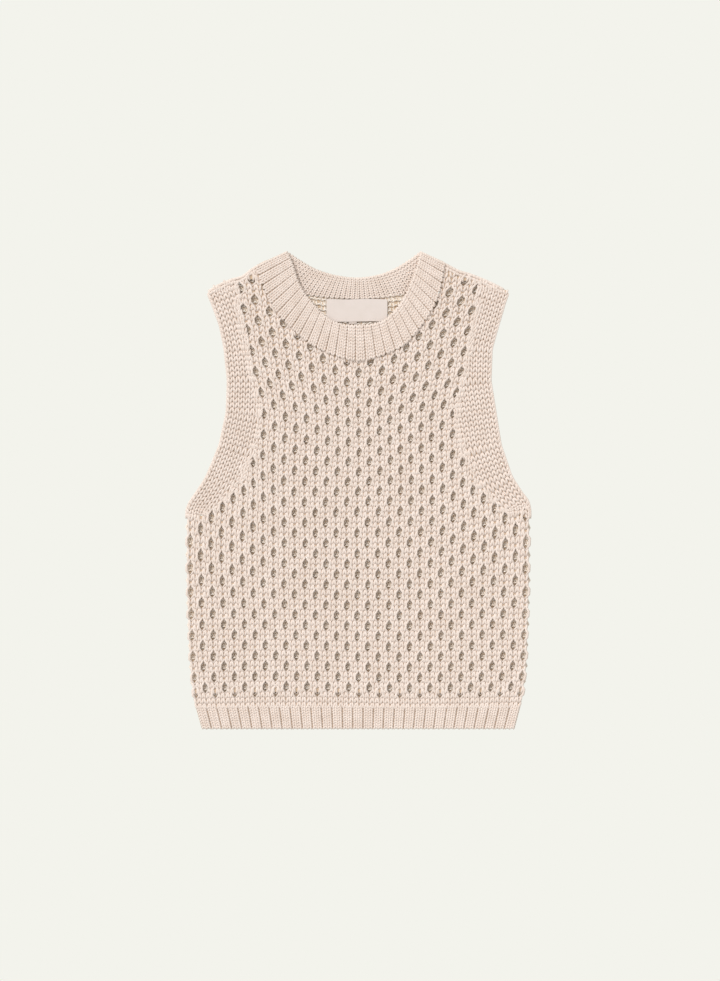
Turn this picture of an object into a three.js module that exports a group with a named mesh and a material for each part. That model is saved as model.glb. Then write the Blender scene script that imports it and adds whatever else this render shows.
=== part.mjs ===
// Sweater vest, knitted, laid out flat on its back: the front panel lies on the back panel, and the
// ribbed neckband lies over the inside of the back neck. Millimetres, +Z up, the hem towards -Y, the
// neck towards +Y. The origin is the middle of the footprint, on the surface that the vest lies on.
import * as THREE from 'three';

// ---- driving sizes ----------------------------------------------------------------------------

const SEAM_GAP = 0.3; // clear space between two neighbouring pieces
const PANEL_THICK = 4.0; // chunky knitted cloth, two yarns deep
const BAND_THICK = 5.0; // ribbing stands thicker than the openwork panels
const LABEL_THICK = 0.5;
const TAB_THICK = 0.3;

const HEM_Y = -287.4; // lower edge of the hem ribbing
const RIB_TOP_Y = -259.4; // where the ribbing changes to the openwork
const BORDER_END_Y = -33.6; // lower end of the plain armhole border, on the side seam
const CURVE_STEP = 10; // longest stretch between two points of a curved outline

// Layers, from the surface up: back pieces, tab, label, then the front pieces and the front neckband.
const BACK = { low: 0, high: PANEL_THICK };
const BACK_BAND = { low: 0, high: 4.6 };
const FRONT = { low: BACK.high + SEAM_GAP, high: BACK.high + SEAM_GAP + PANEL_THICK };
const TAB = { low: BACK.high + SEAM_GAP, high: BACK.high + SEAM_GAP + TAB_THICK };
const LABEL = { low: TAB.high + SEAM_GAP, high: TAB.high + SEAM_GAP + LABEL_THICK };
const FRONT_BAND = { low: LABEL.high + SEAM_GAP, high: LABEL.high + SEAM_GAP + BAND_THICK };

const ROUND = { panel: 1.3, band: 1.8, label: 0.1 }; // how far each kind of edge is rounded

// Free edges of the body, from the shoulder tips down to the hem, measured out from the middle.
const SIDE = [
  { y: 236, left: 180.4, right: 180.6 },
  { y: 228, left: 176.8, right: 177.4 },
  { y: 199, left: 166.0, right: 168.8 },
  { y: 170, left: 160.2, right: 160.6 },
  { y: 132, left: 156.2, right: 159.2 },
  { y: 94, left: 157.6, right: 165.2 },
  { y: 55, left: 166.0, right: 171.4 },
  { y: 17, left: 181.6, right: 184.4 },
  { y: -2, left: 193.6, right: 196.4 },
  { y: -12, left: 201.2, right: 204.6 },
  { y: -22, left: 205.8, right: 207.0 },
  { y: -55, left: 207.6, right: 207.6 },
  { y: -89, left: 205.6, right: 205.0 },
  { y: -166, left: 202.6, right: 202.4 },
  { y: -204, left: 200.8, right: 201.2 },
  { y: -233, left: 198.4, right: 198.6 },
  { y: -259, left: 194.9, right: 194.9 },
  { y: -271, left: 192.6, right: 192.8 },
  { y: -281, left: 190.0, right: 190.4 },
  { y: -286, left: 186.6, right: 187.0 },
];

// Shoulder line of each side, from the neck point out to the tip.
const SHOULDER = {
  left: [
    { x: -85, y: 287.4 },
    { x: -98, y: 283 },
    { x: -106, y: 279.5 },
    { x: -122, y: 270.5 },
    { x: -131, y: 265 },
    { x: -138, y: 258.5 },
    { x: -154, y: 254.5 },
    { x: -170, y: 247 },
    { x: -177, y: 242.6 },
  ],
  right: [
    { x: 75, y: 287.4 },
    { x: 84, y: 283 },
    { x: 93, y: 279.5 },
    { x: 104, y: 274 },
    { x: 121, y: 265 },
    { x: 134, y: 261.5 },
    { x: 152, y: 254.5 },
    { x: 167, y: 247.5 },
    { x: 177.6, y: 243 },
  ],
};

// Inner side of the plain armhole border, from the shoulder down to the side seam.
const BORDER_INNER = [
  { y: 257, out: 145.6 },
  { y: 212, out: 142 },
  { y: 168, out: 133.6 },
  { y: 132, out: 127.6 },
  { y: 96, out: 118.5 },
  { y: 74, out: 118 },
  { y: 53, out: 125 },
  { y: 15, out: 140.8 },
  { y: -2, out: 151.6 },
  { y: -16, out: 166 },
  { y: -27, out: 184 },
];

// Neckband: free edge of its front, seam of its front, free edge of its back, seam of its back.
const NECK_FRONT_EDGE = [
  { x: -85, y: 287.4 },
  { x: -78.4, y: 273.6 },
  { x: -70.5, y: 249.5 },
  { x: -58.2, y: 230 },
  { x: -37.6, y: 208.8 },
  { x: -20, y: 200.4 },
  { x: 0, y: 199 },
  { x: 20, y: 200.8 },
  { x: 35.5, y: 208 },
  { x: 51.8, y: 226.8 },
  { x: 63.6, y: 250.2 },
  { x: 71.6, y: 272.4 },
  { x: 75, y: 287.4 },
];
const NECK_FRONT_SEAM = [
  { x: -122, y: 270.5 },
  { x: -111.5, y: 241 },
  { x: -97.7, y: 215.3 },
  { x: -73.8, y: 190.6 },
  { x: -46.2, y: 170.6 },
  { x: 0, y: 156.4 },
  { x: 47.5, y: 170.6 },
  { x: 69.5, y: 190 },
  { x: 90, y: 220 },
  { x: 99.1, y: 245.6 },
  { x: 104, y: 274 },
];
const NECK_BACK_EDGE = [
  { x: -85, y: 287.4 },
  { x: -70, y: 277.4 },
  { x: -50, y: 266 },
  { x: -25, y: 258.4 },
  { x: 0, y: 255.8 },
  { x: 25, y: 259.4 },
  { x: 45, y: 267.4 },
  { x: 62, y: 278 },
  { x: 75, y: 287.4 },
];
const NECK_BACK_SEAM = [
  { x: -122, y: 270.5 },
  { x: -100, y: 250 },
  { x: -60, y: 235.4 },
  { x: 0, y: 230.6 },
  { x: 50, y: 235.4 },
  { x: 86, y: 250 },
  { x: 104, y: 274 },
];

const LABEL_BOX = { left: -37.8, right: 35.3, low: 203, high: 229.8 };
const TAB_BOX = { left: -11, right: -1.6, low: 200.6, high: 229.8 };

// ---- outlines ---------------------------------------------------------------------------------

const points = (rows) => rows.map((row) => new THREE.Vector2(row.x, row.y));

// A smooth line through the rows of a table, in steps of about CURVE_STEP.
function curveThrough(rows) {
  const curve = new THREE.SplineCurve(points(rows));
  const steps = Math.ceil(curve.getLength() / CURVE_STEP);
  return curve.getSpacedPoints(steps);
}

// The free edge of one side, top to bottom: sign is -1 on the left and 1 on the right.
function sideEdge(sign) {
  const column = sign < 0 ? 'left' : 'right';
  return curveThrough(SIDE.map((row) => ({ x: sign * row[column], y: row.y })));
}

// The part of a line that runs downwards between two heights, ends included.
function cutBetween(line, top, bottom) {
  const atHeight = (y) => {
    const i = line.findIndex((point, k) => k > 0 && point.y <= y && line[k - 1].y > y);
    const share = (line[i - 1].y - y) / (line[i - 1].y - line[i].y);
    return line[i - 1].clone().lerp(line[i], share);
  };
  const inner = line.filter((point) => point.y < top - 1 && point.y > bottom + 1);
  const first = top >= line[0].y ? [line[0]] : [atHeight(top)];
  const last = bottom <= line.at(-1).y ? [line.at(-1)] : [atHeight(bottom)];
  return [...first, ...inner.filter((point) => point.y < first[0].y), ...last];
}

// The part of a shoulder line whose distance from the middle lies between two values.
function shoulderBetween(side, inner, outer) {
  const sign = side === 'left' ? -1 : 1;
  const line = points(SHOULDER[side]);
  const at = (out) => {
    const i = line.findIndex((point, k) => k > 0 && sign * point.x >= out);
    const before = line[i - 1];
    const share = (out - sign * before.x) / (sign * (line[i].x - before.x));
    return before.clone().lerp(line[i], share);
  };
  const middle = line.filter((point) => sign * point.x > inner + 1 && sign * point.x < outer - 1);
  const start = inner <= sign * line[0].x ? line[0] : at(inner);
  const end = outer >= sign * line.at(-1).x ? line.at(-1) : at(outer);
  return [start, ...middle, end];
}

// A line moved sideways, to its left for a positive distance.
function movedAside(line, distance) {
  return line.map((point, i) => {
    const before = line[Math.max(i - 1, 0)];
    const after = line[Math.min(i + 1, line.length - 1)];
    const along = after.clone().sub(before).normalize();
    return new THREE.Vector2(point.x - along.y * distance, point.y + along.x * distance);
  });
}

// The inner line of an armhole border, from the shoulder to the side seam.
function borderInner(sign) {
  const rows = BORDER_INNER.map((row) => ({ x: sign * row.out, y: row.y }));
  const side = cutBetween(sideEdge(sign), 0, BORDER_END_Y).at(-1);
  return curveThrough([...rows, { x: side.x, y: side.y }]);
}

const reversed = (line) => [...line].reverse();

// ---- pieces -----------------------------------------------------------------------------------

const knit = new THREE.MeshStandardMaterial({ color: '#e6d7ca', roughness: 0.95, metalness: 0 });
const ribbing = new THREE.MeshStandardMaterial({ color: '#e9dbce', roughness: 0.95, metalness: 0 });
const woven = new THREE.MeshStandardMaterial({ color: '#eee3dd', roughness: 0.8, metalness: 0 });

// A flat piece of cloth with rounded edges, from its outline and its layer.
function clothPiece(name, outline, layer, round, material) {
  const geometry = new THREE.ExtrudeGeometry(new THREE.Shape(outline), {
    depth: layer.high - layer.low - 2 * round,
    bevelThickness: round,
    bevelSize: round,
    bevelOffset: -round,
    bevelSegments: 2,
    steps: 1,
  });
  geometry.translate(0, 0, layer.low + round);
  const mesh = new THREE.Mesh(geometry, material);
  mesh.name = name;
  return mesh;
}

// The body panel between its ribbing, its armhole borders and its neck seam.
function bodyPanel(name, neckSeam, layer) {
  const sideOf = (sign) => cutBetween(sideEdge(sign), BORDER_END_Y - SEAM_GAP, RIB_TOP_Y + SEAM_GAP);
  const seamLeft = movedAside(borderInner(-1), SEAM_GAP);
  const seamRight = movedAside(borderInner(1), -SEAM_GAP);
  const neck = movedAside(curveThrough(neckSeam), -SEAM_GAP);
  const outline = [
    ...sideOf(-1).reverse(),
    ...reversed(seamLeft).slice(1),
    ...reversed(shoulderBetween('left', -neck[0].x, -seamLeft[0].x)).slice(1, -1),
    ...neck,
    ...shoulderBetween('right', neck.at(-1).x, seamRight[0].x).slice(1, -1),
    ...seamRight.slice(0, -1),
    ...sideOf(1),
  ];
  return clothPiece(name, outline, layer, ROUND.panel, knit);
}

// The plain border along one armhole of one panel.
function armholeBorder(name, side, layer) {
  const sign = side === 'left' ? -1 : 1;
  const inner = borderInner(sign);
  const free = cutBetween(sideEdge(sign), SIDE[0].y, BORDER_END_Y);
  const outline = [
    ...reversed(inner),
    ...shoulderBetween(side, Math.abs(inner[0].x), SIDE[0][side]).slice(1),
    ...free.slice(0, -1),
  ];
  return clothPiece(name, outline, layer, ROUND.panel, knit);
}

// The ribbing along the hem of one panel.
function hemRib(name, layer) {
  const sideOf = (sign) => cutBetween(sideEdge(sign), RIB_TOP_Y, HEM_Y);
  const corner = (sign) => new THREE.Vector2(sign * (SIDE.at(-1).left - 3), HEM_Y);
  const outline = [...sideOf(-1), corner(-1), corner(1), ...reversed(sideOf(1))];
  return clothPiece(name, outline, layer, ROUND.panel, ribbing);
}

// One half of the neckband, between its free edge and its seam.
function neckband(name, edge, seam, layer) {
  const free = curveThrough(edge);
  const sewn = curveThrough(seam);
  const left = shoulderBetween('left', -free[0].x, -sewn[0].x).slice(1, -1);
  const right = shoulderBetween('right', free.at(-1).x, sewn.at(-1).x).slice(1, -1);
  const outline = [...free, ...right, ...reversed(sewn), ...reversed(left)];
  return clothPiece(name, outline, layer, ROUND.band, ribbing);
}

// A small woven piece with square corners.
function wovenPiece(name, box, layer) {
  const outline = [
    new THREE.Vector2(box.left, box.low),
    new THREE.Vector2(box.right, box.low),
    new THREE.Vector2(box.right, box.high),
    new THREE.Vector2(box.left, box.high),
  ];
  return clothPiece(name, outline, layer, ROUND.label, woven);
}

// ---- the vest ---------------------------------------------------------------------------------

const vest = new THREE.Group();
vest.add(
  bodyPanel('back_panel', NECK_BACK_SEAM, BACK),
  hemRib('back_hem_rib', BACK),
  armholeBorder('back_armhole_border_left', 'left', BACK),
  armholeBorder('back_armhole_border_right', 'right', BACK),
  neckband('neckband_back', NECK_BACK_EDGE, NECK_BACK_SEAM, BACK_BAND),
  wovenPiece('size_tab', TAB_BOX, TAB),
  wovenPiece('neck_label', LABEL_BOX, LABEL),
  bodyPanel('front_panel', NECK_FRONT_SEAM, FRONT),
  hemRib('front_hem_rib', FRONT),
  armholeBorder('front_armhole_border_left', 'left', FRONT),
  armholeBorder('front_armhole_border_right', 'right', FRONT),
  neckband('neckband_front', NECK_FRONT_EDGE, NECK_FRONT_SEAM, FRONT_BAND),
);

export default vest;
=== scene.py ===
# %% [markdown]
# # Sweater vest in openwork cotton knit
# The vest lies flat: a back layer, then a front layer, each a thin cloth with real yarn stitches on it.
# Sizes in this script are millimetres until a mesh is made. +X is right, +Y is the neck, +Z is up.

# %%
import math
import bpy
import numpy as np
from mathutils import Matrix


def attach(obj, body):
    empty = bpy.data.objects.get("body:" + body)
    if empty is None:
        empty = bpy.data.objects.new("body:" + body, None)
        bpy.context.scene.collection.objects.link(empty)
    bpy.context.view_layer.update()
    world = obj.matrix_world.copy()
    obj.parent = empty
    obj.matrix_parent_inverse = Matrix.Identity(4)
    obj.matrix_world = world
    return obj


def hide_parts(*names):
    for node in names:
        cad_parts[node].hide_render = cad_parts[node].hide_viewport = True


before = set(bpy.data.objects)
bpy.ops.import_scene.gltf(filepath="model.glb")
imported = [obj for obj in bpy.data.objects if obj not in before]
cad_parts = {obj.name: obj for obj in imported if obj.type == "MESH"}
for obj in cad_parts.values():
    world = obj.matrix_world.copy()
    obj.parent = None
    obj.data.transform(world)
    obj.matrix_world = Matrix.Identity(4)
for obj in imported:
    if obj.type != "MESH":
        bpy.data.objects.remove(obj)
bpy.ops.object.select_all(action="DESELECT")
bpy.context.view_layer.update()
print("nodes", len(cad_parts))

# %% [markdown]
# ## Outlines
# Half widths at heights above the middle, then the shoulder line and the neck curves.
# Left and right differ a little.

# %%
HEM_LOW_Y = -286.4
RIB_TOP_Y = -259.4
BORDER_END_Y = -33.6
HEM_LOW_LEFT = 187.5
HEM_LOW_RIGHT = 187.8
HEM_TOP_HALF = 194.9
PANEL_OVERLAP = 4.0
SHOULDER_CLEAR = 5.0

# y, left, right
SIDE = [
    (-287.4, 186.6, 187.0),
    (-281, 190.0, 190.4),
    (-271, 192.6, 192.8),
    (-259, 194.9, 194.9),
    (-233, 198.4, 198.6),
    (-204, 200.8, 201.2),
    (-166, 202.6, 202.4),
    (-89, 205.6, 205.0),
    (-55, 207.6, 207.6),
    (-22, 205.8, 207.0),
    (-12, 201.2, 204.6),
    (-2, 193.6, 196.4),
    (17, 181.6, 184.4),
    (55, 166.0, 171.4),
    (94, 157.6, 165.2),
    (132, 156.2, 159.2),
    (170, 160.2, 160.6),
    (199, 166.0, 168.8),
    (228, 176.8, 177.4),
    (236, 180.4, 180.6),
]
# y, half width where the armhole border meets the panel
BORDER_INNER = [(-33.6, 206), (-27, 184), (-16, 166), (-2, 151.6), (15, 140.8), (53, 125), (74, 118),
                (96, 118.5), (132, 127.6), (168, 133.6), (212, 142), (257, 145.6)]
# x, y
SHOULDER = [(-180.4, 240), (-177, 242.6), (-170, 247), (-154, 254.5), (-138, 258.5), (-131, 265),
            (-122, 270.5), (-106, 279.5), (-98, 283), (-85, 287.4), (75, 287.4), (84, 283), (93, 279.5),
            (104, 274), (121, 265), (134, 261.5), (152, 254.5), (167, 247.5), (180.6, 240)]
FRONT_EDGE = [(-85, 287.4), (-78.4, 273.6), (-70.5, 249.5), (-58.2, 230), (-37.6, 208.8), (-20, 200.4),
              (0, 199), (20, 200.8), (35.5, 208), (51.8, 226.8), (63.6, 250.2), (71.6, 272.4), (75, 287.4)]
FRONT_SEAM = [(-122, 270.5), (-111.5, 241), (-97.7, 215.3), (-73.8, 190.6), (-46.2, 170.6), (0, 156.4),
              (47.5, 170.6), (69.5, 190), (90, 220), (99.1, 245.6), (104, 274)]
BACK_EDGE = [(-85, 287.4), (-70, 277.4), (-50, 266), (-25, 258.4), (0, 255.8), (25, 259.4), (45, 267.4),
             (62, 278), (75, 287.4)]
BACK_SEAM = [(-122, 270.5), (-100, 250), (-60, 235.4), (0, 230.6), (50, 235.4), (86, 250), (104, 274)]

SIDE_Y, SIDE_LEFT, SIDE_RIGHT = zip(*SIDE)
INNER_Y, INNER_X = zip(*BORDER_INNER)
SHOULDER_X, SHOULDER_Y = zip(*SHOULDER)


def side(x, y):
    """Half width of the vest at height y, on the side that x is on."""
    return np.where(x < 0, np.interp(y, SIDE_Y, SIDE_LEFT), np.interp(y, SIDE_Y, SIDE_RIGHT))


def along_path(at, distance, points):
    """Points of a path, or vectors along it, at distances on it."""
    return np.stack([np.interp(at, distance, points[:, 0]), np.interp(at, distance, points[:, 1])], -1)


def path_distance(points):
    return np.concatenate([[0], np.cumsum(np.hypot(*np.diff(points, axis=0).T))])


def smooth_curve(points, count):
    """A rounded curve through the points, in evenly spaced steps."""
    p = np.array(points, float)
    p = np.vstack([2 * p[0] - p[1], p, 2 * p[-1] - p[-2]])
    t = np.linspace(0, 1, 12, endpoint=False)[:, None]
    bits = []
    for a, b, c, d in zip(p, p[1:], p[2:], p[3:]):
        cubic = 3 * b - a - 3 * c + d
        bits.append(b + 0.5 * t * (c - a + t * (2 * a - 5 * b + 4 * c - d + t * cubic)))
    p = np.vstack([*bits, p[-2]])
    distance = path_distance(p)
    return along_path(np.linspace(0, distance[-1], count), distance, p)


def in_panel(x, y, seam, gap):
    """Where a panel reaches, drawn in by gap. It runs a little over the armhole borders."""
    half = np.where(y < BORDER_END_Y, side(x, y), np.interp(y, INNER_Y, INNER_X)) + PANEL_OVERLAP
    seam_x, seam_y = zip(*seam)
    neck = np.interp(x, seam_x, seam_y, left=999, right=999)
    shoulder = np.interp(x, SHOULDER_X, SHOULDER_Y)
    below = (y < neck - gap / 2) & (y < shoulder - SHOULDER_CLEAR - gap)
    return (np.abs(x) < half - gap) & below & (y > RIB_TOP_Y)


print("side rows", len(SIDE), "shoulder points", len(SHOULDER))

# %% [markdown]
# ## Materials
# One colour function, one node function, then cotton yarn, the cloth behind it in painted shade, and woven
# tape.

# %%
FIBRE_HEIGHT = 0.0004
BROAD_SCALE = 90.0


def linear(text):
    c = [int(text[i:i + 2], 16) / 255 for i in (1, 3, 5)]
    return [v / 12.92 if v <= 0.04045 else ((v + 0.055) / 1.055) ** 2.4 for v in c] + [1.0]


def node(tree, kind, **values):
    n = tree.nodes.new(kind)
    for key, value in values.items():
        n.inputs[key].default_value = value
    return n


def cloth_material(name, low, high, scale, bump, rough, sheen):
    """A matt cloth that varies slowly between two colours, with a fine fibre bump."""
    m = bpy.data.materials.new(name)
    m.use_nodes = True
    tree = m.node_tree
    shader = tree.nodes["Principled BSDF"]
    shader.inputs["Roughness"].default_value = rough
    shader.inputs["Sheen Weight"].default_value = sheen
    shader.inputs["Specular IOR Level"].default_value = 0.15
    place = node(tree, "ShaderNodeTexCoord")
    fine = node(tree, "ShaderNodeTexNoise", Scale=scale, Detail=3.0)
    broad = node(tree, "ShaderNodeTexNoise", Scale=BROAD_SCALE, Detail=2.0)
    ramp = node(tree, "ShaderNodeValToRGB")
    ramp.color_ramp.elements[0].position = 0.3
    ramp.color_ramp.elements[1].position = 0.7
    ramp.color_ramp.elements[0].color = linear(low)
    ramp.color_ramp.elements[1].color = linear(high)
    rise = node(tree, "ShaderNodeBump", Strength=bump, Distance=FIBRE_HEIGHT)
    tree.links.new(place.outputs["Object"], fine.inputs["Vector"])
    tree.links.new(place.outputs["Object"], broad.inputs["Vector"])
    tree.links.new(broad.outputs["Fac"], ramp.inputs["Fac"])
    tree.links.new(ramp.outputs["Color"], shader.inputs["Base Color"])
    tree.links.new(fine.outputs["Fac"], rise.inputs["Height"])
    tree.links.new(rise.outputs["Normal"], shader.inputs["Normal"])
    return m


# Soft matt cotton yarn of the front layer
yarn = cloth_material("cotton yarn", "#EBDBCF", "#F3E5DB", 1500.0, 0.6, 0.9, 0.2)
# The same cotton with painted shade: a darker colour for the cloth in the gaps between stitches, where they
# shade it
painted_shade = cloth_material("cotton yarn, painted shade", "#CDB59A", "#DAC5AE", 1500.0, 0.4, 0.95, 0.0)
# Yarn of the back layer with painted light: a lighter copy of the front yarn, because little light reaches it
painted_light_yarn = cloth_material("cotton yarn, back layer, painted light", "#F4E7D9", "#F9F0E6", 1500.0, 0.6, 0.9, 0.1)
# Woven satin tape
satin = cloth_material("woven satin", "#E3D7CF", "#E7DBD4", 2500.0, 0.15, 0.6, 0.1)
print("materials", len(bpy.data.materials))

# %% [markdown]
# ## Mesh makers
# `strands` makes many short pieces of yarn at once. `shell` makes a thin closed cloth from a grid of points,
# with some cells left out.

# %%
MM = 0.001
MOST_TRIANGLES = 190000
made = {}


def triangles(piece):
    return sum(len(p.vertices) - 2 for p in piece.data.polygons)


def add_piece(name, verts, faces, material, smooth=True):
    mesh = bpy.data.meshes.new(name)
    mesh.from_pydata(np.asarray(verts).tolist(), [], faces)
    mesh.update()
    mesh.polygons.foreach_set("use_smooth", [smooth] * len(mesh.polygons))
    mesh.materials.append(material)
    piece = bpy.data.objects.new(name, mesh)
    bpy.context.scene.collection.objects.link(piece)
    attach(piece, "root")
    made[name] = piece
    return piece


def tube_faces(sides, gaps):
    """The faces of one tube: its quads, then its two ends."""
    quads = []
    for g in range(gaps):
        for s in range(sides):
            n = (s + 1) % sides
            quads.append([g * sides + s, g * sides + n, (g + 1) * sides + n, (g + 1) * sides + s])
    first = list(range(sides))[::-1]
    last = [gaps * sides + s for s in range(sides)]
    return np.array(quads), np.array(first), np.array(last)


def strands(name, start, mid, end, radius, material, slot, sides, gaps):
    """Pieces of yarn along quadratic curves, tapered at both ends, as few joined meshes."""
    u = np.linspace(0, 1, gaps + 1)[None, :, None]
    a, b, c = start[:, None], mid[:, None], end[:, None]
    line = a * (1 - u) ** 2 + 2 * b * u * (1 - u) + c * u * u
    along = 2 * (b - a) * (1 - u) + 2 * (c - b) * u
    along /= np.linalg.norm(along, axis=2, keepdims=True) + 1e-9
    across = np.cross(along, [0, 0, 1.0])
    across /= np.linalg.norm(across, axis=2, keepdims=True) + 1e-9
    up = np.cross(across, along)
    taper = 0.5 + 0.5 * np.sin(np.linspace(0.35, math.pi - 0.35, gaps + 1))
    size = radius * taper[None, :, None, None]
    turn = np.arange(sides) * 2 * math.pi / sides
    ring = np.cos(turn)[None, None, :, None] * across[:, :, None]
    ring = ring + np.sin(turn)[None, None, :, None] * up[:, :, None]
    verts = (line[:, :, None] + size * ring) * MM
    count = (gaps + 1) * sides
    quads, first, last = tube_faces(sides, gaps)
    block = MOST_TRIANGLES // (gaps * sides * 2 + 2 * (sides - 2))
    out = []
    for k in range(0, len(verts), block):
        part = verts[k:k + block].reshape(-1, 3)
        base = np.arange(len(part) // count) * count
        faces = (quads[None] + base[:, None, None]).reshape(-1, 4).tolist()
        faces += (first[None] + base[:, None]).tolist()
        faces += (last[None] + base[:, None]).tolist()
        out.append(add_piece(f"{name}_{k // block + 1}", part, faces, material))
    return out


def shell(name, grid, cells, low, high, material, slot):
    """A closed thin cloth over a grid of points (rows, columns, 2). cells says which quads are kept."""
    rows, cols = grid.shape[:2]
    flat = grid.reshape(-1, 2)
    total = len(flat)
    verts = np.concatenate([np.c_[flat, np.full(total, high)], np.c_[flat, np.full(total, low)]]) * MM
    faces = []
    for j, i in zip(*np.nonzero(cells)):
        a, b = j * cols + i, j * cols + i + 1
        d, c = a + cols, b + cols
        faces.append([a, b, c, d])
        faces.append([a + total, d + total, c + total, b + total])
        neighbours = ((j - 1, i, a, b), (j, i + 1, b, c), (j + 1, i, c, d), (j, i - 1, d, a))
        for row, col, p, q in neighbours:
            if 0 <= row < rows - 1 and 0 <= col < cols - 1 and cells[row, col]:
                continue
            faces.append([q, p, p + total, q + total])
    used = np.unique([v for f in faces for v in f])
    index = {int(v): k for k, v in enumerate(used)}
    faces = [[index[int(v)] for v in f] for f in faces]
    return add_piece(name, verts[used], faces, material, smooth=False)


def cell_area(grid, cells):
    """Square metres of the kept cells."""
    d1 = grid[1:, 1:] - grid[:-1, :-1]
    d2 = grid[1:, :-1] - grid[:-1, 1:]
    return float(np.abs(d1[..., 0] * d2[..., 1] - d1[..., 1] * d2[..., 0])[cells].sum() / 2) * 1e-6


def raised(points, z):
    """Flat points put at height z."""
    return np.c_[points, np.full(len(points), z)]


class Strands:
    """Gathers the three points of many pieces of yarn, then makes them."""

    def __init__(self):
        self.rows = ([], [], [])

    def add(self, *points):
        for row, p in zip(self.rows, points):
            row.append(p)

    def make(self, name, radius, material, slot, sides, gaps):
        ends = [np.concatenate(row) for row in self.rows]
        return strands(name, *ends, radius, material, slot, sides, gaps)


print("most triangles in a piece", MOST_TRIANGLES)

# %% [markdown]
# ## Layers
# Heights of each layer's cloth and of the middle of its yarn. `way` is 1 where the yarn faces up and -1 where
# it faces down. The back layer's yarn has fewer sides because little of it shows.

# %%
FRONT = {
    "name": "front",
    "panel": (5.6, 6.4),
    "panel_yarn": 6.7,
    "panel_radius": 1.62,
    "strip": (5.4, 6.2),
    "strip_yarn": 6.9,
    "way": 1,
    "material": yarn,
    "sides": 6,
    "gaps": 3,
    "shift": 0.0,
    "seam": FRONT_SEAM,
}
BACK = {
    "name": "back",
    "panel": (1.7, 2.3),
    "panel_yarn": 1.5,
    "panel_radius": 1.45,
    "strip": (1.7, 2.3),
    "strip_yarn": 1.5,
    "way": -1,
    # The back layer's yarn is the copy with painted light.
    "material": painted_light_yarn,
    "sides": 4,
    "gaps": 2,
    "shift": 12.4,
    "seam": BACK_SEAM,
}
print("layers", FRONT["name"], BACK["name"])

# %% [markdown]
# ## Where the stitches lie
# Wales and rows follow a warp: the yoke fans out, and the rows fall towards the middle near the armholes.
# Even wales carry the eyelets, two rows tall in four, half a period apart between neighbours.

# %%
WALE = 6.27
ROW = 6.2
FIRST_ROW = -252.0
PERIOD = 4
LAST_WALE = 32
LOWEST_ROW = -1
TOP_ROW = 91
OUTER_X = 203.5
EYELET_CLEAR = 6.0
PLAIN_BACK_Y = 190
PLAIN_BACK_HALF = 80

wales, rows = np.meshgrid(np.arange(-LAST_WALE, LAST_WALE + 1), np.arange(LOWEST_ROW, TOP_ROW + 1))
rng = np.random.default_rng(7)


def warp(w, r, shift):
    """Where wale w and row r are, after the yoke's fan, the slope of the rows and a slight waver."""
    w, r = np.asarray(w, float), np.asarray(r, float)
    x = WALE * w
    y = FIRST_ROW + ROW * r + shift
    away = np.abs(x)
    fan = np.clip((y - 70) / 60, 0, 1)
    spread = 1 + 0.0017 * fan * np.clip(y - 80, 0, 400)
    slope = 0.14 * np.clip((y + 10) / 130, 0, 1) * (away - 60)
    slope = slope + 0.3 * np.clip(away - 95, 0, 200) * np.exp(-((y + 5) / 75) ** 2)
    squeeze = 0.05 * np.clip(away - 110, 0, 200) * np.exp(-((y + 20) / 60) ** 2)
    px = x * spread - np.sign(x) * squeeze
    low = np.clip(-y / 34, 0, 1)
    fit = side(x, y) / OUTER_X - 1
    px = px * (1 + fit * low * np.clip(away / OUTER_X, 0, 1.1) ** 2)
    calm = np.clip((204 - away) / 40, 0, 1)
    px = px + calm * (1.1 * np.sin(y / 61 + x / 90) + 0.6 * np.sin(y / 23 + x / 37))
    py = y + slope + 1.0 * np.sin(x / 47 + y / 80)
    return np.stack([px, py], -1)


def in_pattern(w, r):
    """Whether the openwork pattern leaves this stitch out."""
    drop = np.where(w % PERIOD == 0, 0, PERIOD // 2)
    return (w % 2 == 0) & ((r + drop) % PERIOD < PERIOD // 2) & (r > 0)


def eyelet(w, r, layer):
    """An eyelet, kept off the edges and off the plain part of the back below the neck."""
    x, y = np.moveaxis(warp(w, r, layer["shift"]), -1, 0)
    free = in_panel(x, y, layer["seam"], EYELET_CLEAR)
    if layer is BACK:
        free = free & ~((y > PLAIN_BACK_Y) & (np.abs(x) < PLAIN_BACK_HALF))
    return in_pattern(w, r) & free


def knit_cells(layer, gap):
    """The wales and rows of the stitches that a panel has."""
    x, y = np.moveaxis(warp(wales, rows, layer["shift"]), -1, 0)
    there = in_panel(x, y, layer["seam"], gap) & ~eyelet(wales, rows, layer)
    return wales[there], rows[there]


print("wales", wales.shape[1], "rows", wales.shape[0])

# %% [markdown]
# ## Panels
# The cloth of each panel has a real hole at each eyelet. On it lie the V stitches, two legs each, and two
# strands that round each eyelet and meet in a point above it.

# %%
WALE_HALVES = np.arange(-LAST_WALE - 0.5, LAST_WALE + 1.5)
ROW_HALVES = np.arange(LOWEST_ROW - 0.5, TOP_ROW + 1.5)


def panel_cloth(layer):
    corner_w, corner_r = np.meshgrid(WALE_HALVES, ROW_HALVES)
    grid = warp(corner_w, corner_r, layer["shift"])
    x, y = np.moveaxis(warp(wales, rows, layer["shift"]), -1, 0)
    inside = in_panel(x, y, layer["seam"], 1.5)
    cells = inside & ~eyelet(wales, rows, layer)
    name = f"{layer['name']}_cloth"
    # The panel cloth takes the painted shade colour, standing in for the shade between and under the
    # stitches.
    return shell(name, grid, cells, *layer["panel"], painted_shade, "cotton_knit"), cell_area(grid, inside)


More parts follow.
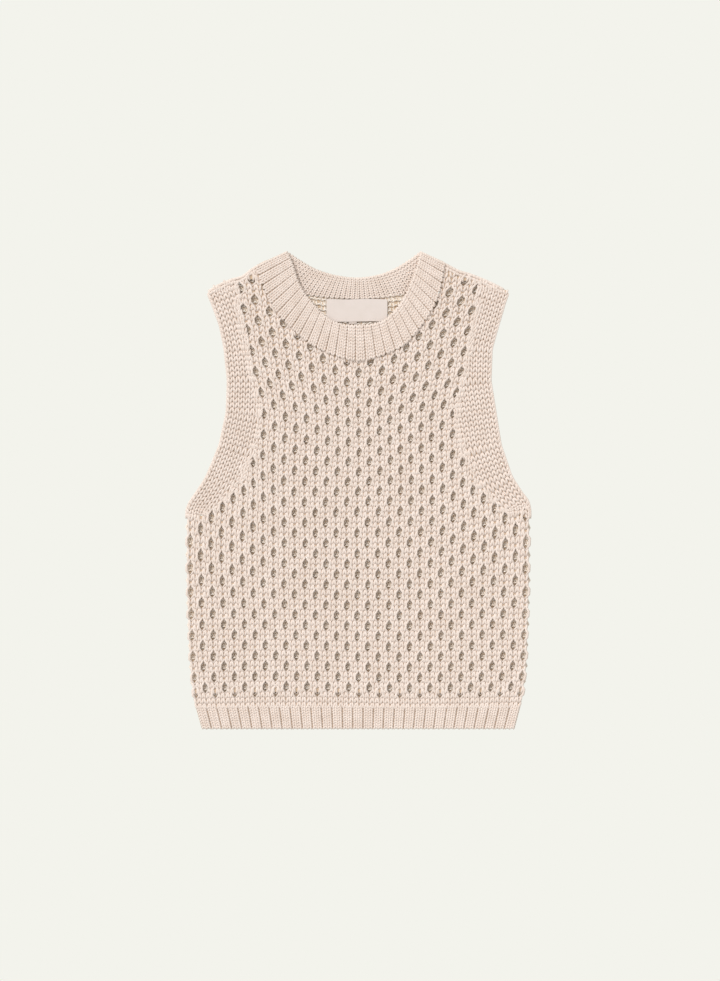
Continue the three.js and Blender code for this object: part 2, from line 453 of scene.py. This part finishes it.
def add_v_stitches(layer, gathered):
    w, r = knit_cells(layer, 0.5)
    z, way, shift = layer["panel_yarn"], layer["way"], layer["shift"]
    odd = np.where(w % 2 != 0, 1.0, 0.0)
    pull = (in_pattern(w + 1, r) * 1.0 - in_pattern(w - 1, r) * 1.0) * -0.10 * odd
    over_eyelet = in_pattern(w, r - 1) & (w % 2 == 0)
    wide = np.where(w % 2 == 0, 0.42, 0.30)
    foot_wide = np.where(over_eyelet, 0.26, 0.06)
    foot_drop = np.where(over_eyelet, 0.75, 0.62)
    for s in (-1, 1):
        top = warp(w + pull + s * wide, r + 0.62, shift)
        foot = warp(w + pull + s * foot_wide, r - foot_drop, shift)
        jitter = rng.normal(0, 0.12, (len(w), 2))
        bend = (top + foot) / 2 + jitter
        bend[:, 0] += s * 0.9
        gathered.add(raised(top, z - way * 1.0), raised(bend, z + way * 1.5), raised(foot, z - way * 0.7))


def add_eyelet_rims(layer, gathered):
    z, way, shift = layer["panel_yarn"], layer["way"], layer["shift"]
    lower_row = eyelet(wales, rows, layer) & ~in_pattern(wales, rows - 1)
    w, r = wales[lower_row], rows[lower_row]
    for s in (-1, 1):
        foot = warp(w - 0.05, r - 0.75, shift)
        top = warp(w + 0.12, r + 2.0, shift)
        bend = warp(w + s * 1.6, r + 0.35, shift) + rng.normal(0, 0.35, (len(w), 2))
        gathered.add(raised(foot, z - way * 0.4), raised(bend, z + way * 0.5), raised(top, z + way * 0.4))


def panel_yarn(layer):
    gathered = Strands()
    add_v_stitches(layer, gathered)
    add_eyelet_rims(layer, gathered)
    name = f"{layer['name']}_stitch"
    material, sides, gaps = layer["material"], layer["sides"], layer["gaps"]
    return gathered.make(name, layer["panel_radius"], material, "cotton_knit", sides, gaps)


def shoulder_roll(name, z, material):
    """Two rows of yarn along each shoulder, over the ends of the stitches."""
    gathered = Strands()
    for inner, outer in ((-178, -112), (94, 174)):
        x = np.arange(inner, outer, 4.0)
        for drop, high in ((2.2, 0.0), (6.0, 0.5)):
            points = []
            for ahead, lift in ((-1.5, high - 0.9), (1.8, high), (5.0, high - 0.9)):
                y = np.interp(x + ahead, SHOULDER_X, SHOULDER_Y) - drop
                points.append(raised(np.c_[x + ahead, y], z + lift))
            gathered.add(*points)
    return gathered.make(name, 2.0, material, "cotton_knit", 6, 3)


front_cloth, front_area = panel_cloth(FRONT)
back_cloth, back_area = panel_cloth(BACK)
front_yarn = panel_yarn(FRONT)
back_yarn = panel_yarn(BACK)
front_yarn += shoulder_roll("front_shoulder_roll", 6.4, yarn)
back_yarn += shoulder_roll("back_shoulder_roll", 2.2, painted_light_yarn)
print("panel areas", front_area, back_area)

# %% [markdown]
# The inside of the back layer shows purl bumps through the eyelets.

# %%
PURL_Z = 3.3
PURL_RADIUS = 1.35


def purl_bumps():
    w, r = knit_cells(BACK, 1.0)
    shift = BACK["shift"]
    left = warp(w - 0.55, r - 0.12, shift)
    right = warp(w + 0.55, r - 0.12, shift)
    top = warp(w, r + 0.55, shift)
    gathered = Strands()
    gathered.add(raised(left, PURL_Z - 0.5), raised(top, PURL_Z + 0.7), raised(right, PURL_Z - 0.5))
    return gathered.make("back_purl", PURL_RADIUS, painted_light_yarn, "cotton_knit", 4, 2)


back_bumps = purl_bumps()
print("purl pieces", len(back_bumps))

# %% [markdown]
# ## Strips
# The hem ribs and the neckbands each lie between two curves, with two knit wales and a recess in each rib.

# %%
STRIP_STEPS = 80
STRIP_ROWS = 6
HEM_RIB = {"period": 12.5, "row": 3.06, "radius": 1.45}
sheets = []


def strip_point(one, two, t, s):
    """The point a share t along the strip and a share s across it."""
    at = np.clip(t, 0, 1) * (len(one) - 1)
    i = np.arange(len(one))
    a, b = along_path(at, i, one), along_path(at, i, two)
    return a + (b - a) * np.asarray(s)[..., None]


def strip_cloth(name, one, two, low, high, slot):
    t, s = np.meshgrid(np.linspace(0, 1, STRIP_STEPS + 1), np.linspace(0.02, 0.98, STRIP_ROWS + 1))
    grid = strip_point(one, two, t, s)
    cells = np.ones((STRIP_ROWS, STRIP_STEPS), bool)
    # The strip cloth also takes the painted shade colour.
    return shell(name, grid, cells, low, high, painted_shade, slot), cell_area(grid, cells)


def strip_ribs(name, one, two, z, way, period, row, radius, material, sides, gaps, pair=True):
    """Rows of small V stitches across the strip, in ribs of two wales, or evenly spaced where pair is off."""
    length = np.hypot(*np.diff(two, axis=0).T).sum()
    width = np.hypot(*(two - one).T).mean()
    count = max(2, int(round(length / period)))
    deep = max(2, int(round(width / row)))
    k, j = (v.ravel() for v in np.meshgrid(np.arange(count), np.arange(deep)))
    offsets = (-0.22, 0.22) if pair else (0.0,)
    half = 0.2 if pair else 0.42
    gathered = Strands()
    for offset in offsets:
        for s in (-1, 1):
            centre = (k + 0.5 + offset) / count
            top = strip_point(one, two, centre + s * half / count, (j + 0.05) / deep)
            foot = strip_point(one, two, centre + s * 0.03 / count, (j + 1.35) / deep)
            bend = (top + foot) / 2 + rng.normal(0, 0.08, top.shape)
            gathered.add(raised(top, z - way * 0.8), raised(bend, z + way * 1.3), raised(foot, z - way * 0.5))
    return gathered.make(name, radius, material, "cotton_ribbing", sides, gaps)


def add_sheet(piece, node_name, w, l, area, on, extra):
    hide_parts(node_name)
    sheets.append((piece, w, l, area, on, extra))


def hem_lines():
    t = np.linspace(-1, 1, 161)
    low = np.where(t < 0, t * HEM_LOW_LEFT, t * HEM_LOW_RIGHT)
    return np.c_[low, np.full(len(t), HEM_LOW_Y)], np.c_[t * HEM_TOP_HALF, np.full(len(t), RIB_TOP_Y)]


def add_hem(layer):
    name = layer["name"]
    on = ["back_hem_cloth"] if layer is FRONT else ["floor"]
    low, high = hem_lines()
    cloth, area = strip_cloth(f"{name}_hem_cloth", low, high, *layer["strip"], "cotton_ribbing")
    ribs = strip_ribs(f"{name}_hem_rib_stitch", low, high, layer["strip_yarn"], layer["way"], **HEM_RIB,
                      material=layer["material"], sides=layer["sides"], gaps=layer["gaps"])
    add_sheet(cloth, f"{name}_hem_rib", 0.39, 0.027, area, on, ribs)


# %% [markdown]
# ## Armhole borders
# Their wales run along the armhole edge, so each is placed by its distance inward from it.

# %%
BORDER_WALES = 8
BORDER_WALE = 6.2
BORDER_ROW = 6.0
FIRST_WALE_IN = 3.3
BORDER_TOP_Y = 239
BORDER_DROP = 0.2
STITCH_RADIUS = 1.6
ROLL_RADIUS = 1.5


def border_lines(sign):
    y = np.linspace(BORDER_END_Y, 264, 121)
    edge = sign * side(np.full(len(y), sign), y)
    inner = sign * np.interp(y, INNER_Y, INNER_X)
    return np.c_[edge, y], np.c_[inner, y]


def border_cloth(layer, word, edge, inner):
    low, high = layer["strip"]
    roof = np.interp(inner[:, 0], SHOULDER_X, SHOULDER_Y)
    cut_edge = np.c_[edge[:, 0], np.minimum(edge[:, 1], BORDER_TOP_Y)]
    cut_inner = np.c_[inner[:, 0], np.minimum(inner[:, 1], roof - 1)]
    name = f"{layer['name']}_border_{word}"
    return strip_cloth(name, cut_edge, cut_inner, low - BORDER_DROP, high - BORDER_DROP, "cotton_knit")


def inward_of(path, sign):
    """Unit vectors across the path, towards the middle of the vest."""
    normal = np.gradient(path, axis=0)
    normal /= np.linalg.norm(normal, axis=1, keepdims=True)
    inward = np.c_[-normal[:, 1], normal[:, 0]] * (-sign)
    return np.where((inward[:, :1] * sign) > 0, -inward, inward)


def border_legs(layer, word, down, sign):
    z, way = layer["strip_yarn"], layer["way"]
    inward = inward_of(down, sign)
    run = path_distance(down)
    t = np.arange(3, run[-1], BORDER_ROW)
    gathered = Strands()

    def place(ahead, off):
        return along_path(t + ahead, run, down) + along_path(t + ahead, run, inward) * off

    for k in range(BORDER_WALES):
        off = FIRST_WALE_IN + BORDER_WALE * k
        spot = place(0, off)
        limit = np.interp(spot[:, 1], INNER_Y, INNER_X)
        roof = np.interp(spot[:, 0], SHOULDER_X, SHOULDER_Y)
        good = (np.abs(spot[:, 0]) > limit - 3.5) & (spot[:, 1] < roof - 2.5) & (spot[:, 1] > -36)
        for s in (-1, 1):
            top = place(-3.6, off + s * 2.5)
            foot = place(3.4, off + s * 0.5)
            bend = (top + foot) / 2 + rng.normal(0, 0.12, top.shape)
            parts = raised(top, z - way * 1.1), raised(bend, z + way * 1.3), raised(foot, z - way * 0.9)
            gathered.add(*(p[good] for p in parts))
    name = f"{layer['name']}_border_stitch_{word}"
    material, sides, gaps = layer["material"], layer["sides"], layer["gaps"]
    return gathered.make(name, STITCH_RADIUS, material, "cotton_knit", sides, gaps)


def edge_roll(layer, word, down):
    """A row of yarn along the free edge of the armhole."""
    z = layer["strip_yarn"]
    down = down[down[:, 1] < BORDER_TOP_Y]
    gathered = Strands()
    gathered.add(raised(down[:-3], z - 0.6), raised(down[1:-2], z - 0.2), raised(down[3:], z - 0.6))
    name = f"{layer['name']}_edge_roll_{word}"
    return gathered.make(name, ROLL_RADIUS, layer["material"], "cotton_knit", 5, 2)


def add_border(layer, word, sign):
    on = [f"back_border_{word}"] if layer is FRONT else ["floor"]
    edge, inner = border_lines(sign)
    cloth, area = border_cloth(layer, word, edge, inner)
    down = edge[::-1]
    stitches = border_legs(layer, word, down, sign) + edge_roll(layer, word, down)
    add_sheet(cloth, f"{layer['name']}_armhole_border_{word}", 0.034, 0.31, area, on, stitches)


for each_layer in (FRONT, BACK):
    add_hem(each_layer)
    add_border(each_layer, "left", -1)
    add_border(each_layer, "right", 1)
print("strips", len(sheets))

# %% [markdown]
# ## Neckbands
# The front one stands highest, and the back one shows its inside above and has its own outside below.

# %%
CURVE_POINTS = 161
front_in, front_out = smooth_curve(FRONT_EDGE, CURVE_POINTS), smooth_curve(FRONT_SEAM, CURVE_POINTS)
back_in, back_out = smooth_curve(BACK_EDGE, CURVE_POINTS), smooth_curve(BACK_SEAM, CURVE_POINTS)

cloth, area = strip_cloth("front_neckband_cloth", front_in, front_out, 7.4, 8.2, "cotton_ribbing")
ribs = strip_ribs("front_neckband_stitch", front_in, front_out, 8.8, 1, 12.4, 3.5, 1.5, yarn, 6, 3)
add_sheet(cloth, "neckband_front", 0.35, 0.043, area, ["front_cloth"], ribs)

cloth, area = strip_cloth("back_neckband_cloth", back_in, back_out, 1.2, 2.0, "cotton_ribbing")
ribs = strip_ribs("back_neckband_inside", back_in, back_out, 3.4, 1, 6.2, 3.6, 1.35, yarn, 5, 3, pair=False)
ribs += strip_ribs("back_neckband_outside", back_in, back_out, 0.9, -1, 12.4, 3.6, 1.3, painted_light_yarn, 4, 2)
add_sheet(cloth, "neckband_back", 0.26, 0.034, area, ["floor"], ribs)

add_sheet(front_cloth, "front_panel", 0.4153, 0.53, front_area, ["back_cloth"], front_yarn)
add_sheet(back_cloth, "back_panel", 0.4153, 0.53, back_area, ["floor"], back_yarn + back_bumps)
print("sheets", len(sheets))

# %% [markdown]
# ## Neck label and size tab
# Bare satin tape with a slight ripple. The tab lies under the label.

# %%


def tape(name, node_name, x0, x1, y0, y1, low, high):
    gx, gy = np.meshgrid(np.linspace(x0, x1, 25), np.linspace(y0, y1, 13))
    grid = np.stack([gx, gy + 0.35 * np.sin(gx / 9)], -1)
    piece = shell(name, grid, np.ones((12, 24), bool), low, high, satin, "woven_label")
    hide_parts(node_name)
    return piece


label = tape("neck_label_tape", "neck_label", -37.8, 35.3, 203, 229.8, 4.9, 5.4)
tab = tape("size_tab_tape", "size_tab", -11, -1.6, 200.6, 229.8, 4.3, 4.6)
print("label and tab made")

# %% [markdown]
# ## Floor and sheets
# The surface gives its own light, so that its colour is even. It is a little below the vest's lowest yarn.

# %%
bpy.ops.mesh.primitive_plane_add(size=12, location=(0, 0, -0.0012))
floor = bpy.context.object
floor.name = "floor"
# Pale surface that gives its own light
paper = bpy.data.materials.new("lit paper")
paper.use_nodes = True
paper_shader = paper.node_tree.nodes["Principled BSDF"]
paper_shader.inputs["Base Color"].default_value = (0, 0, 0, 1)
paper_shader.inputs["Specular IOR Level"].default_value = 0.0
paper_shader.inputs["Emission Color"].default_value = linear("#F3F3EC")
paper_shader.inputs["Emission Strength"].default_value = 1.0
floor.data.materials.append(paper)

for piece, w, l, area, on, extra in sheets:
    print(piece.name, "with", len(extra), "pieces")

# %% [markdown]
# ## Light and camera
# Soft light comes from the upper left. The camera looks straight down through a long lens.

# %%
world = bpy.data.worlds.new("soft room")
world.use_nodes = True
world.node_tree.nodes["Background"].inputs["Color"].default_value = (1.0, 0.99, 0.97, 1)
world.node_tree.nodes["Background"].inputs["Strength"].default_value = 0.6
bpy.context.scene.world = world

sun_data = bpy.data.lights.new("window", "SUN")
sun_data.energy = 2.0
sun_data.angle = math.radians(25)
sun = bpy.data.objects.new("window", sun_data)
sun.rotation_euler = (math.radians(-32), math.radians(-32), 0)
bpy.context.scene.collection.objects.link(sun)

camera_data = bpy.data.cameras.new("camera")
camera_data.lens = 122.3
camera_data.sensor_width = 36
camera = bpy.data.objects.new("camera", camera_data)
camera.location = (0.0024, 0, 4.008)
bpy.context.scene.collection.objects.link(camera)
bpy.context.scene.camera = camera
bpy.context.scene.view_settings.view_transform = "Standard"
print("camera height", camera.location.z)

# %%
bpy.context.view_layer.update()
counts = {name: triangles(piece) for name, piece in made.items()}
largest = max(counts, key=counts.get)
print("triangles", sum(counts.values()), "most in", largest, counts[largest])
